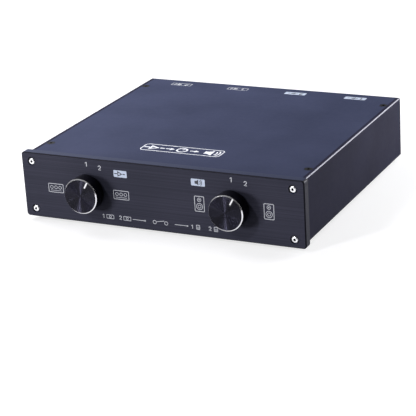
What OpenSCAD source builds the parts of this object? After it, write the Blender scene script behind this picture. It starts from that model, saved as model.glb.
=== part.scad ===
// Speaker selector switch: a flat aluminium case with two rotary selectors on its
// front panel and sixteen binding posts on its rear panel. Millimetres. X runs to
// the right as seen from the front, Y to the rear and Z up. The origin is on the
// surface that it stands on, under the middle of the whole object.

/* [Case] */
// Width over the side walls
case_w = 220; // [216:1:280]
// Depth from the back of the front panel to the rear ends of the side walls
case_d = 197.6; // [150:0.2:260]
// Height of the side walls
case_h = 47.1; // [46.5:0.1:60]
// Thickness of a side wall
wall_t = 3; // [2.2:0.1:4]
// Bevel along the long outer edges of a side wall
wall_bevel = 0.6; // [0.2:0.1:1]
// Thickness of the top and bottom covers
cover_t = 1.8; // [1.7:0.1:2.2]
// Gap between a cover or the rear panel and the walls round it
cover_gap = 0.15; // [0.1:0.05:0.3]
// Height of the ledge that carries a cover
ledge_h = 7; // [5.5:0.1:9]
// Width of that ledge, inwards from the wall
ledge_w = 7.2; // [6:0.1:9]
// Distance of a screw port from the outer face of its wall
port_inset = 6; // [5.6:0.1:6.6]
// Distance of a screw port from the face of its ledge
port_drop = 3.3; // [3.3:0.1:3.8]
// Width of the slot that opens a screw port to the inside
port_slot = 1.4; // [0.8:0.1:2]
// Distance of a cover screw from the end of its cover
cover_screw_inset = 22; // [16:0.5:40]

/* [Front panel] */
// Thickness of the front panel
panel_t = 6.8; // [5:0.1:9]
// How far the front panel stands out past each side wall
panel_side = 2.6; // [1:0.1:5]
// How far it stands up past the top cover
panel_top = 1.8; // [0.5:0.1:4]
// How far it hangs down past the bottom cover
panel_bottom = 1.3; // [0.5:0.1:3]
// Radius of its corners
panel_corner = 2.5; // [1.5:0.1:5]
// Bevel round its front face
panel_bevel = 0.8; // [0.3:0.1:1.2]
// Depth of the pocket for a front screw's head
front_pocket = 1.5; // [1.2:0.1:3]

/* [Rear panel] */
// Thickness of the rear panel
rear_t = 3; // [2.6:0.1:4]
// How far the rear panel lies inside the ends of the side walls
rear_recess = 1.2; // [0.4:0.1:4]
// Depth of the pocket for a rear screw's head
rear_pocket = 1.7; // [1:0.1:1.9]

/* [Case screws] */
// Thread diameter of the case screws
screw_d = 3; // [2.5:0.1:3.4]
// Head diameter of a button-head screw
head_d = 5.5; // [5:0.1:5.6]
// Head height of a button-head screw
head_h = 1.7; // [1.4:0.1:2]
// Width across the flats of the hexagon socket
socket_flats = 2; // [1.5:0.1:2.4]
// Depth of the hexagon socket
socket_deep = 1.1; // [0.6:0.1:1.3]
// Gap round a front screw's head in its pocket
front_head_gap = 0.55; // [0.2:0.05:0.8]
// Gap round a rear screw's head in its pocket
rear_head_gap = 0.2; // [0.1:0.05:0.25]
// Gap round a screw's shank in the plate that it holds
shank_gap = 0.2; // [0.1:0.05:0.4]
// Gap between a thread and the hole that it is cut in
thread_gap = 0.05; // [0.02:0.01:0.1]
// Length under the head of a front screw
front_screw_len = 12; // [9:0.5:16]
// Length under the head of a rear screw
rear_screw_len = 8; // [5:0.5:12]
// Whole length of a countersunk cover screw
cover_screw_len = 6; // [4.5:0.1:7]
// Head diameter of a cover screw
cover_head_d = 6; // [5:0.1:6.2]

/* [Feet] */
// Height of a rubber foot
foot_h = 4.5; // [3:0.1:10]
// Diameter of a foot where it meets the cover
foot_d = 16; // [12:0.5:20]
// Diameter of a foot where it meets the table
foot_base_d = 14; // [10:0.5:19]
// Distance of a foot's middle from the end of the case and from its side
foot_inset = 26; // [20:0.5:40]

/* [Knobs] */
// Distance of a knob's axis from the middle of the front panel
knob_x = 57.7; // [50:0.1:70]
// Diameter of a knob
knob_d = 26.6; // [24:0.2:34]
// Length of a knob
knob_len = 11.2; // [9.8:0.1:16]
// Gap between a knob and the front panel
knob_gap = 0.8; // [0.4:0.1:1.2]
// Bevel round a knob's face
knob_bevel = 0.7; // [0.3:0.1:1.5]
// Diameter of the hollow in a knob's back
knob_hollow_d = 20; // [17:0.5:21]
// Depth of that hollow
knob_hollow = 4; // [3:0.1:4.6]
// Depth of the shaft's bore, from a knob's back
knob_bore = 9.2; // [8:0.1:9.3]
// Width of the pointer groove
pointer_w = 1.1; // [0.6:0.1:2]
// Length of the pointer groove
pointer_len = 5.6; // [3:0.1:9]
// Depth of the pointer groove
pointer_deep = 0.35; // [0.2:0.05:0.5]
// Diameter of the hole for a knob's set screw
set_screw_d = 3; // [2:0.1:3.4]
// Turn between a selector's two positions
index_angle = 30; // [24:1:36]

/* [Rotary switches] */
// Diameter of a switch shaft
shaft_d = 6; // [5:0.1:6.4]
// Gap between a shaft and its bushing, and between a shaft and its knob
shaft_gap = 0.05; // [0.02:0.01:0.1]
// Outside diameter of the threaded bushing
bushing_d = 9; // [8.4:0.1:10]
// How far the bushing comes out of the front panel
bushing_out = 3; // [2.6:0.1:3.4]
// Width across the flats of the bushing nut
bushing_nut_flats = 12; // [11:0.1:14]
// Thickness of the bushing nut
bushing_nut_t = 2; // [1.5:0.1:2.5]
// Diameter of a switch's front plate
plate_d = 37.2; // [36.4:0.2:38.4]
// Thickness of a switch's front plate
plate_t = 2; // [1.6:0.1:3]
// Inside diameter of the cup round the index wheel
cup_d = 24; // [23.4:0.1:25]
// Wall of that cup
cup_wall = 1; // [0.8:0.1:1.4]
// Depth of that cup
cup_deep = 6; // [5.4:0.1:7]
// Diameter of the index wheel
wheel_d = 19; // [17.6:0.1:19]
// Thickness of the index wheel
wheel_t = 4; // [3:0.1:4.6]
// Diameter of the key that stops the switch from turning in the panel
key_d = 2.2; // [1.6:0.1:2.6]
// Distance of that key from the shaft
key_out = 12; // [9:0.1:14]
// Length of that key
key_len = 2; // [1:0.1:2.6]
// Distance from the front plate to the wafer
wafer_gap = 14; // [12:0.5:20]
// Thickness of the wafer
wafer_t = 1.6; // [1.2:0.1:2.4]
// Diameter of the rotor in the wafer
rotor_d = 20; // [18:0.1:20.4]
// Gap round the rotor
rotor_gap = 0.3; // [0.2:0.05:0.4]
// Width of the shaft's tongue, which turns the rotor
tongue_w = 4; // [3:0.1:4.6]
// Thickness of that tongue
tongue_t = 1.6; // [1:0.1:2]
// Distance of a pillar from the shaft
pillar_out = 16.2; // [16:0.1:16.6]
// Diameter of a pillar
pillar_d = 4.4; // [3.6:0.1:4.6]
// Thread diameter of a pillar's two ends
pillar_stud_d = 2.4; // [2:0.1:2.6]
// Width across the flats of a pillar nut
pillar_nut_flats = 5; // [4:0.1:5]
// Thickness of a pillar nut
pillar_nut_t = 2; // [1.5:0.1:2.4]
// Width of a contact spring
contact_w = 1.8; // [1.2:0.1:2]
// Thickness of a contact spring
contact_t = 0.4; // [0.3:0.05:0.6]
// Distance of a contact's rivet from the shaft
rivet_out = 13; // [12.4:0.1:14]
// Diameter of that rivet
rivet_d = 1.6; // [1.2:0.1:1.8]

/* [Binding posts] */
// Plain width that is left at each side, beside the four groups of posts
group_margin = 8; // [4:0.1:12]
// Distance between the two columns of a group
post_pitch = 25.4; // [20:0.1:28]
// Distance between the two rows
row_pitch = 22.4; // [20:0.1:24]
// How far a post comes out past the ends of the side walls
post_out = 18; // [16:0.1:24]
// Diameter of an outer collar
collar_d = 15.4; // [13:0.1:16]
// Thickness of an outer collar
collar_t = 3; // [2:0.1:4]
// Diameter of an inner collar
inner_collar_d = 14; // [12:0.1:16]
// Thickness of an inner collar
inner_collar_t = 2.2; // [1.5:0.1:3]
// Diameter of the spigots that fill the panel's hole
spigot_d = 9; // [8:0.1:10]
// Depth of the flat that keeps a post from turning
spigot_flat = 0.8; // [0.4:0.1:1.2]
// Gap between a spigot and the panel, and between a stem and its collars
spigot_gap = 0.05; // [0.02:0.01:0.1]
// Diameter of a stem inside the case
stud_d = 6; // [5:0.1:6.6]
// Diameter of a stem's flange
flange_d = 11.6; // [9:0.1:12.4]
// Thickness of a stem's flange
flange_t = 1; // [0.8:0.1:2]
// Diameter of the threaded stem outside
stem_d = 6.9; // [6.6:0.1:7]
// Diameter of the socket for a banana plug
socket_d = 4.1; // [4:0.05:4.4]
// Depth of that socket
socket_len = 10.4; // [8:0.1:10.6]
// Diameter of the cross hole for bare wire
wire_hole_d = 3.2; // [2:0.1:3.4]
// Distance of the cross hole's middle from the flange
wire_hole_up = 2.3; // [2:0.1:2.6]
// Gap between a cap and the flange that it closes on
cap_gap = 0.2; // [0.1:0.05:0.4]
// Gap between a cap's thread and its stem
cap_thread_gap = 0.05; // [0.02:0.01:0.1]
// Diameter of a cap's metal barrel
barrel_d = 9.6; // [9.2:0.1:9.8]
// Diameter of the flange at the barrel's back
barrel_flange_d = 12.4; // [11:0.1:12.6]
// Thickness of that flange
barrel_flange_t = 2; // [1:0.1:2.4]
// Depth of the grooves between the barrel's ribs
rib_deep = 0.6; // [0.3:0.05:0.8]
// Number of grooves
rib_count = 4; // [2:1:5]
// Distance from one groove to the next
rib_pitch = 1.5; // [1.2:0.1:1.8]
// Length of plain barrel in front of the grooves
barrel_land = 2; // [1.2:0.1:3]
// Gap between the clear shell and the barrel
shell_gap = 0.1; // [0.05:0.05:0.2]
// Width across the flats of the clear shell
shell_flats = 13.4; // [12:0.1:13.8]
// Diameter that rounds off the clear shell's corners
shell_round_d = 14.1; // [13.2:0.1:14.4]
// Diameter of the round rim at the clear shell's back
shell_rim_d = 15.2; // [14.6:0.1:16]
// Length of that rim
shell_rim_len = 3.4; // [2.6:0.1:5]
// Bevel round the clear shell's front
shell_bevel = 1.1; // [0.4:0.1:1.6]
// How far the barrel comes out of the clear shell
barrel_out = 0.8; // [0.2:0.1:1.5]
// Width across the flats of a post nut
post_nut_flats = 10; // [9:0.1:10.4]
// Thickness of a post nut
post_nut_t = 3; // [2:0.1:4]
// How far the stem goes on past its nut
stud_over = 2; // [0.5:0.1:4]

/* [Tags and leads] */
// Thickness of a solder tag
tag_t = 0.8; // [0.5:0.1:1]
// Width of a solder tag's arm
tag_w = 4.4; // [3:0.1:5]
// Length of the arm, which runs towards the front
tag_len = 9; // [7:0.1:12]
// Distance of the arm from the post's axis
tag_out = 6.6; // [6.4:0.1:7]
// Diameter of a lead over its insulation
lead_d = 1.8; // [1:0.1:2]
// Straight length of a lead at its tag
lead_stub = 2; // [1:0.1:3]
// Distance from its tag to where a lead turns across the case
lead_start = 5; // [4:0.5:10]
// Distance from the wafer's contacts to where the leads fan out
lead_end = 14; // [12:0.5:20]

/* [Hidden] */
POSTS = 16;
COLUMNS = 8;
MIXED = ["front_panel", "top_cover", "bottom_cover", "left_side", "right_side", "rear_panel",
         "front_screws", "rear_screws", "cover_screws", "feet",
         "amp_knob", "speaker_knob", "amp_shaft", "speaker_shaft", "amp_rotor", "speaker_rotor",
         "switch_frames", "detent_springs", "switch_pillars", "switch_wafers", "switch_contacts",
         "post_stems", "red_collars", "black_collars", "post_tags", "hex_nuts",
         "red_leads", "black_leads"];

// Colours of the finishes
black_metal = [0.16, 0.16, 0.18];
slate_metal = [0.26, 0.27, 0.34];
wall_metal = [0.24, 0.23, 0.28];
nickel = [0.8, 0.79, 0.76];
brass = [0.78, 0.66, 0.4];
steel = [0.62, 0.63, 0.65];
dark_steel = [0.12, 0.12, 0.13];
rubber = [0.08, 0.08, 0.08];
red_plastic = [0.5, 0.08, 0.1];
black_plastic = [0.07, 0.07, 0.08];
clear_plastic = [0.9, 0.92, 0.95, 0.35];
board = [0.55, 0.38, 0.2];

// Places along Y, which put the middle of the whole object at zero
knob_stand = knob_gap + knob_len;
total_d = knob_stand + panel_t + case_d + post_out;
panel_front_y = knob_stand - total_d / 2;
case_front_y = panel_front_y + panel_t;
case_rear_y = case_front_y + case_d;
rear_face_y = case_rear_y - rear_recess;
ledge_len = case_d - rear_recess - rear_t;

// Places along Z
case_z = foot_h;
axis_z = case_z + case_h / 2;
port_height = cover_t + port_drop;

// Case
inner_w = case_w - 2 * wall_t;
cover_w = inner_w - 2 * cover_gap;
rear_h = case_h - 2 * (cover_t + cover_gap);
port_x = case_w / 2 - port_inset;
port_reach = case_h / 2 - port_height;
panel_w = case_w + 2 * panel_side;
panel_h = case_h + panel_top + panel_bottom;
panel_mid = (panel_top - panel_bottom) / 2;
shank_hole_r = screw_d / 2 + shank_gap;
tapped_r = screw_d / 2 + thread_gap;
tapped_spare = 0.4;
tapped_deep = cover_screw_len - cover_t + tapped_spare;
foot_round = 1;
small_bevel = 0.4;
front_pocket_r = head_d / 2 + front_head_gap;
rear_pocket_r = head_d / 2 + rear_head_gap;

// Knobs and shafts
shaft_flat = 0.6;
flat_clear = 0.5;
bushing_gap = 2 * thread_gap;
key_spare = 1.3;

// Rotary switches, with depths counted from the back of the front panel, and angles
// counted from the side towards the top
wheel_clear = 0.3;
notch_r = 1.5;
notch_out = 0.7;
lug_half = 8;
lug_clear = 0.5;
stop_slack = 1;
stop_wide = 10;
stop_clear = 0.5;
leaf_t = 0.5;
leaf_inset = 0.5;
leaf_clear = 0.1;
leaf_from = 235;
leaf_to = 305;
nose_r = 1.2;
nose_clear = 0.2;
wheel_back = plate_t + wheel_clear + wheel_t;
wafer_front = plate_t + wafer_gap;
wafer_back = wafer_front + wafer_t;
blade_t = 0.35;
blade_clear = 0.15;
blade_rim = 0.4;
blade_wide = 2;
blade_from = 10;
blade_to = 50;
contact_front = wafer_back + blade_t + blade_clear;
contact_back = contact_front + contact_t;
contact_lap = 1.4;
contact_in = rotor_d / 2 - contact_lap;
contact_spare = 0.4;
contact_pitch = 30;
first_contact = 15;
lead_ring = 18.3;
contact_out = lead_ring + lead_d / 2 + contact_spare;
rivet_head = 0.4;
tongue_over = 1;
tongue_end = wafer_back + tongue_over;
pillar_stud_over = 0.6;
pillar_short = 0.1;
poles = 4;
rest_angle = 90 - index_angle;

// Leads
near_leg = 2.2;
far_leg = 7;
jumper_bend = 4;
jumper_run = 1.2 * jumper_bend;
jumper_swerve = 2.4;
lane_step = 3;
lane_share = 0.9;
bend_trim = 0.25;
bend_swell = 0.2;

// Binding posts, with heights counted from the outer face of the rear panel
group_pitch = (case_w - 2 * group_margin) / 4;
post_stand = post_out + rear_recess;
stem_short = 0.2;
stem_tip = post_stand - stem_short;
cap_base = collar_t + flange_t + cap_gap;
shell_top = post_stand - barrel_out;
spigot_split = 0.2;
spigot_t = (rear_t - spigot_split) / 2;
spigot_cut = spigot_d / 2 - spigot_flat;
inner_face = rear_t + inner_collar_t;
nut_front = inner_face + tag_t;
stud_end = nut_front + post_nut_t + stud_over;
tag_end = inner_face + tag_len;
tag_ring_d = 11;

// Corner radius of a polygon from its width across the flats
function corner_r(flats, sides) = flats / 2 / cos(180 / sides);

// Column and row of a post, its place, and which way its tag's arm stands
function column(i) = i % COLUMNS;
function row_side(i) = i < COLUMNS ? 1 : -1;
function post_x(i) = (floor(column(i) / 2) - 1.5) * group_pitch + (column(i) % 2 - 0.5) * post_pitch;
function post_z(i) = axis_z + row_side(i) * row_pitch / 2;
function is_amp(i) = column(i) >= COLUMNS / 2;
function arm_side(i) = is_amp(i) ? row_side(i) : -row_side(i);

// Contact angle of each post's throw, for the four columns of a side; a group's two columns
// are joined to the commons together, and its like columns share a pole
UPPER_THROWS = [105, 15, 165, 75];
LOWER_THROWS = [-165, -75, -105, -15];
function switch_x(i) = is_amp(i) ? -knob_x : knob_x;
function throw_angle(i) = (row_side(i) > 0 ? UPPER_THROWS : LOWER_THROWS)[column(i) % 4];

// Puts a piece on an axis that faces the front, from the back of the front panel
module facing_front(x) translate([x, case_front_y, axis_z]) rotate([90, 0, 0]) children();

// Puts a piece on an axis that faces the rear, from the outer face of the rear panel
module facing_rear(x, z) translate([x, rear_face_y, z]) rotate([-90, 0, 0]) children();

// Extrudes an outline in X and Z along Y
module along_y(start, length)
    translate([0, start + length, 0]) rotate([90, 0, 0]) linear_extrude(length) children();

// Repeats a piece at the four screw ports, seen from the front
module at_ports()
    for (side = [-1, 1], level = [-1, 1]) translate([side * port_x, level * port_reach, 0]) children();

module tube(outer_r, inner_r, low, high)
    difference() {
        translate([0, 0, low]) cylinder(h = high - low, r = outer_r, $fn = 96);
        translate([0, 0, low - 1]) cylinder(h = high - low + 2, r = inner_r, $fn = 96);
    }

module nut(flats, hole_r, low, thick)
    difference() {
        translate([0, 0, low]) cylinder(h = thick, r = corner_r(flats, 6), $fn = 6);
        translate([0, 0, low - 1]) cylinder(h = thick + 2, r = hole_r, $fn = 64);
    }

// A flat wedge from the axis out to a radius, between two angles
module wedge(reach, from, to) {
    steps = 4;
    polygon(concat([[0, 0]],
                   [for (k = [0 : steps]) let (a = from + (to - from) * k / steps)
                       reach / cos((to - from) / steps / 2) * [cos(a), sin(a)]]));
}

// A piece of a flat ring between two angles
module ring_piece(outer_r, inner_r, from, to)
    intersection() {
        difference() {
            circle(r = outer_r, $fn = 96);
            circle(r = inner_r, $fn = 96);
        }
        wedge(outer_r * 1.1, from, to);
    }

// Button-head screw with a hexagon socket, its head's underside at zero
module button_screw(length)
    difference() {
        rotate_extrude($fn = 64) polygon([
            [0, -length], [screw_d / 2 - small_bevel, -length], [screw_d / 2, small_bevel - length],
            [screw_d / 2, 0], [head_d / 2, 0], [head_d / 2, head_h * 0.25], [head_d * 0.4, head_h * 0.8],
            [head_d * 0.3, head_h], [0, head_h]]);
        translate([0, 0, head_h - socket_deep])
            cylinder(h = head_h, r = corner_r(socket_flats, 6), $fn = 6);
    }

// Countersunk screw with a hexagon socket, its flat top at zero
module countersunk_screw(length)
    difference() {
        rotate_extrude($fn = 64) polygon([
            [0, -length], [screw_d / 2 - small_bevel, -length], [screw_d / 2, small_bevel - length],
            [screw_d / 2, (screw_d - cover_head_d) / 2], [cover_head_d / 2, 0], [0, 0]]);
        translate([0, 0, -socket_deep]) cylinder(h = head_h, r = corner_r(socket_flats, 6), $fn = 6);
    }

// Hole for a countersunk screw, cut down from a plate's top face
module countersink() {
    sink_r = cover_head_d / 2 + shank_gap;
    translate([0, 0, -cover_t - 1]) cylinder(h = cover_t + 2, r = shank_hole_r, $fn = 64);
    rotate_extrude($fn = 64) polygon([
        [0, shank_hole_r - sink_r], [shank_hole_r, shank_hole_r - sink_r], [sink_r, 0], [sink_r, 1], [0, 1]]);
}

module rounded_outline(width, height, r) {
    square([width - 2 * r, height], center = true);
    square([width, height - 2 * r], center = true);
    for (x = [-1, 1], y = [-1, 1])
        translate([x * (width / 2 - r), y * (height / 2 - r)]) circle(r = r, $fn = 64);
}

module bevel_outline(r, top, bevel)
    polygon([[r - bevel, top], [r, top - bevel], [r + bevel, top - bevel],
             [r + bevel, top + bevel], [r - bevel, top + bevel]]);

// What a bevel takes off the top edge of a plate with rounded corners
module edge_bevel(width, height, r, top, bevel)
    for (side = [0 : 3]) {
        along = side % 2 == 0 ? height : width;
        across = side % 2 == 0 ? width : height;
        rotate([0, 0, 90 * side]) translate([across / 2 - r, along / 2 - r, 0]) {
            rotate([90, 0, 0]) linear_extrude(along - 2 * r) bevel_outline(r, top, bevel);
            rotate_extrude(angle = 90, $fn = 64) bevel_outline(r, top, bevel);
        }
    }

// Case

module front_panel() color(black_metal)
    facing_front(0) difference() {
        translate([0, panel_mid, 0]) difference() {
            linear_extrude(panel_t) rounded_outline(panel_w, panel_h, panel_corner);
            edge_bevel(panel_w, panel_h, panel_corner, panel_t, panel_bevel);
        }
        at_ports() {
            translate([0, 0, -1]) cylinder(h = panel_t + 2, r = shank_hole_r, $fn = 64);
            translate([0, 0, panel_t - front_pocket]) cylinder(h = panel_t, r = front_pocket_r, $fn = 64);
        }
        for (side = [-1, 1]) translate([side * knob_x, 0, -1]) {
            cylinder(h = panel_t + 2, r = bushing_d / 2 + bushing_gap, $fn = 64);
            translate([0, key_out, 0]) cylinder(h = key_len + key_spare, r = key_d / 2 + bushing_gap, $fn = 32);
        }
    }

module cover_plate()
    difference() {
        translate([-cover_w / 2, case_front_y, -cover_t]) cube([cover_w, case_d, cover_t]);
        at_cover_screws() countersink();
    }

module at_cover_screws()
    for (side = [-1, 1], y = [case_front_y + cover_screw_inset, case_rear_y - cover_screw_inset])
        translate([side * port_x, y, 0]) children();

module top_cover() color(slate_metal) translate([0, 0, case_z + case_h]) cover_plate();

module bottom_cover() color(slate_metal) translate([0, 0, case_z]) mirror([0, 0, 1]) cover_plate();

// Section of a side wall, with bevels along its two outer edges
module wall_outline()
    polygon([[0, wall_bevel], [wall_bevel, 0], [wall_t, 0], [wall_t, case_h],
             [wall_bevel, case_h], [0, case_h - wall_bevel]]);

// Section of the ledge that carries a cover, with its open screw port
module ledge_outline()
    difference() {
        translate([wall_t / 2, cover_t]) square([wall_t / 2 + ledge_w, ledge_h]);
        translate([port_inset, port_height]) circle(r = tapped_r, $fn = 64);
        translate([port_inset, port_height - port_slot / 2]) square([case_w, port_slot]);
    }

module side_wall()
    translate([-case_w / 2, 0, case_z]) difference() {
        union() {
            along_y(case_front_y, case_d) wall_outline();
            along_y(case_front_y, ledge_len) ledge_outline();
            along_y(case_front_y, ledge_len) translate([0, case_h]) mirror([0, 1]) ledge_outline();
        }
        for (y = [case_front_y + cover_screw_inset, case_rear_y - cover_screw_inset]) {
            translate([port_inset, y, cover_t - 1]) cylinder(h = tapped_deep + 1, r = tapped_r, $fn = 64);
            translate([port_inset, y, case_h - cover_t - tapped_deep])
                cylinder(h = tapped_deep + 1, r = tapped_r, $fn = 64);
        }
    }

module left_side() color(wall_metal) side_wall();

module right_side() color(wall_metal) mirror([1, 0, 0]) side_wall();

// Outline of a post's spigot, round with one flat, grown by a gap
module spigot_outline(gap)
    intersection() {
        circle(r = spigot_d / 2 + gap, $fn = 64);
        translate([-spigot_d, -spigot_d]) square([spigot_d + spigot_cut + gap, 2 * spigot_d]);
    }

module rear_panel() color(black_metal)
    difference() {
        translate([-cover_w / 2, rear_face_y - rear_t, axis_z - rear_h / 2]) cube([cover_w, rear_t, rear_h]);
        for (i = [0 : POSTS - 1]) facing_rear(post_x(i), post_z(i))
            translate([0, 0, -rear_t - 1]) linear_extrude(rear_t + 2) spigot_outline(spigot_gap);
        facing_rear(0, axis_z) at_ports() {
            translate([0, 0, -rear_t - 1]) cylinder(h = rear_t + 2, r = shank_hole_r, $fn = 64);
            translate([0, 0, -rear_pocket]) cylinder(h = rear_t, r = rear_pocket_r, $fn = 64);
        }
    }

module front_screws() color(nickel)
    facing_front(0) at_ports() translate([0, 0, panel_t - front_pocket]) button_screw(front_screw_len);

module rear_screws() color(dark_steel)
    facing_rear(0, axis_z) at_ports() translate([0, 0, -rear_pocket]) button_screw(rear_screw_len);

module cover_screws() color(dark_steel) {
    translate([0, 0, case_z + case_h]) at_cover_screws() countersunk_screw(cover_screw_len);
    translate([0, 0, case_z]) mirror([0, 0, 1]) at_cover_screws() countersunk_screw(cover_screw_len);
}

module feet() color(rubber)
    for (side = [-1, 1], y = [case_front_y + foot_inset, case_rear_y - foot_inset])
        translate([side * (case_w / 2 - foot_inset), y, 0]) rotate_extrude($fn = 96) polygon([
            [0, 0], [foot_base_d / 2 - foot_round, 0], [foot_base_d / 2, foot_round],
            [foot_d / 2, foot_h - foot_round], [foot_d / 2, foot_h], [0, foot_h]]);

// Rotary switches

module knob(x) color(black_metal)
    facing_front(x) translate([0, 0, panel_t + knob_gap]) difference() {
        rotate_extrude($fn = 128) polygon([
            [0, knob_hollow], [knob_hollow_d / 2, knob_hollow], [knob_hollow_d / 2, 0],
            [knob_d / 2 - small_bevel, 0], [knob_d / 2, small_bevel],
            [knob_d / 2, knob_len - knob_bevel], [knob_d / 2 - knob_bevel, knob_len], [0, knob_len]]);
        cylinder(h = knob_bore, r = shaft_d / 2 + shaft_gap, $fn = 96);
        rotate([0, 0, rest_angle]) {
            translate([knob_d / 2 - pointer_len, -pointer_w / 2, knob_len - pointer_deep])
                cube([knob_d, pointer_w, knob_len]);
            translate([0, 0, (knob_hollow + knob_bore) / 2]) rotate([0, -90, 0])
                cylinder(h = knob_d, r = set_screw_d / 2, $fn = 48);
        }
    }

module amp_knob() knob(-knob_x);

module speaker_knob() knob(knob_x);

// Shaft with its index wheel, stop lug and the tongue that turns the rotor
module shaft(x) color(steel)
    facing_front(x) difference() {
        union() {
            top = panel_t + knob_gap + knob_bore - small_bevel;
            rotate_extrude($fn = 96) polygon([
                [0, -wheel_back - tongue_over], [shaft_d / 2, -wheel_back - tongue_over],
                [shaft_d / 2, top - small_bevel],
                [shaft_d / 2 - small_bevel, top], [0, top]]);
            translate([0, 0, -wheel_back]) linear_extrude(wheel_t) index_wheel();
            translate([-tongue_w / 2, -tongue_t / 2, -tongue_end])
                cube([tongue_w, tongue_t, tongue_end - wheel_back]);
        }
        rotate([0, 0, rest_angle - 180])
            translate([shaft_d / 2 - shaft_flat, -shaft_d, panel_t + bushing_out + flat_clear])
                cube([shaft_d, 2 * shaft_d, knob_bore]);
    }

// Wheel with a notch every 30 degrees and the lug that turns between the two stops
module index_wheel() {
    difference() {
        circle(r = wheel_d / 2, $fn = 96);
        for (a = [0 : contact_pitch : 359])
            rotate(a) translate([wheel_d / 2 + notch_out, 0]) circle(r = notch_r, $fn = 32);
    }
    ring_piece(cup_d / 2 - lug_clear, shaft_d / 2, 90 - lug_half, 90 + lug_half);
}

module amp_shaft() shaft(-knob_x);

module speaker_shaft() shaft(knob_x);

// Insulating disc in the wafer, with four raised blades that join neighbouring contacts
module rotor(x) color(board)
    facing_front(x) difference() {
        union() {
            translate([0, 0, -wafer_back]) cylinder(h = wafer_t, r = rotor_d / 2, $fn = 96);
            for (pole = [0 : poles - 1]) rotate([0, 0, 90 * pole])
                translate([0, 0, -wafer_back - blade_t]) linear_extrude(blade_t + wafer_t / 2)
                    ring_piece(rotor_d / 2 - blade_rim, rotor_d / 2 - blade_rim - blade_wide,
                               blade_from, blade_to);
        }
        slot = tongue_w + 2 * shaft_gap;
        translate([-slot / 2, -tongue_t / 2 - shaft_gap, -wafer_back - 1])
            cube([slot, tongue_t + 2 * shaft_gap, wafer_t + 2]);
    }

module amp_rotor() rotor(-knob_x);

module speaker_rotor() rotor(knob_x);

module both_switches() for (side = [-1, 1]) facing_front(side * knob_x) children();

// Front plate with its threaded bushing, key, index cup and the two stops in the cup
module switch_frames() color(steel)
    both_switches() difference() {
        union() {
            translate([0, 0, -plate_t]) cylinder(h = plate_t, r = plate_d / 2, $fn = 96);
            translate([0, 0, -plate_t]) cylinder(h = plate_t + panel_t + bushing_out, r = bushing_d / 2, $fn = 96);
            translate([0, key_out, -plate_t]) cylinder(h = plate_t + key_len, r = key_d / 2, $fn = 48);
            tube(cup_d / 2 + cup_wall, cup_d / 2, -plate_t - cup_deep, -plate_t / 2);
            translate([0, 0, -plate_t - cup_deep]) linear_extrude(cup_deep + plate_t / 2)
                for (from = [90 - lug_half - stop_slack - stop_wide, 90 + index_angle + lug_half + stop_slack])
                    ring_piece(cup_d / 2 + cup_wall / 2, wheel_d / 2 + stop_clear, from, from + stop_wide);
        }
        translate([0, 0, -plate_t - 1]) cylinder(h = plate_t + panel_t + bushing_out + 2,
                                                 r = shaft_d / 2 + shaft_gap, $fn = 96);
        for (side = [-1, 1]) translate([side * pillar_out, 0, -plate_t - 1])
            cylinder(h = plate_t + 2, r = pillar_stud_d / 2 + thread_gap, $fn = 48);
    }

// Leaf in the index cup with the rounded nose that drops into the wheel's notches
module detent_springs() color(nickel)
    both_switches() translate([0, 0, -wheel_back + leaf_inset]) linear_extrude(wheel_t - 2 * leaf_inset) {
        leaf_out = cup_d / 2 - leaf_clear;
        ring_piece(leaf_out, leaf_out - leaf_t, leaf_from, leaf_to);
        intersection() {
            translate([0, -wheel_d / 2 - nose_clear - nose_r]) circle(r = nose_r, $fn = 48);
            circle(r = leaf_out - leaf_t / 2, $fn = 96);
        }
    }

module switch_pillars() color(nickel)
    both_switches() for (side = [-1, 1]) translate([side * pillar_out, 0, 0]) {
        stud_r = pillar_stud_d / 2;
        stud_back = wafer_back + pillar_nut_t + pillar_stud_over;
        rotate_extrude($fn = 48) polygon([
            [0, -stud_back], [stud_r, -stud_back],
            [stud_r, -wafer_front], [pillar_d / 2, -wafer_front], [pillar_d / 2, -plate_t],
            [stud_r, -plate_t], [stud_r, -pillar_short], [0, -pillar_short]]);
    }

module at_contacts() for (a = [first_contact : contact_pitch : 359]) rotate([0, 0, a]) children();

module switch_wafers() color(board)
    both_switches() difference() {
        tube(plate_d / 2, rotor_d / 2 + rotor_gap, -wafer_back, -wafer_front);
        for (side = [-1, 1]) translate([side * pillar_out, 0, -wafer_back - 1])
            cylinder(h = wafer_t + 2, r = pillar_stud_d / 2 + thread_gap, $fn = 48);
        at_contacts() translate([rivet_out, 0, -wafer_back - 1])
            cylinder(h = wafer_t + 2, r = rivet_d / 2 + thread_gap, $fn = 32);
    }

module switch_contacts() color(nickel)
    both_switches() at_contacts() {
        translate([contact_in, -contact_w / 2, -contact_back])
            cube([contact_out - contact_in, contact_w, contact_t]);
        translate([rivet_out, 0, 0]) rotate_extrude($fn = 32) polygon([
            [0, -contact_front - contact_t / 2], [contact_w / 2, -contact_front - contact_t / 2],
            [contact_w / 2, -wafer_back], [rivet_d / 2, -wafer_back], [rivet_d / 2, -wafer_front],
            [rivet_d * 0.8, -wafer_front], [rivet_d * 0.6, rivet_head - wafer_front],
            [0, rivet_head - wafer_front]]);
    }

// Binding posts

module at_posts(first, last) for (i = [first : last]) facing_rear(post_x(i), post_z(i)) children();

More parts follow.
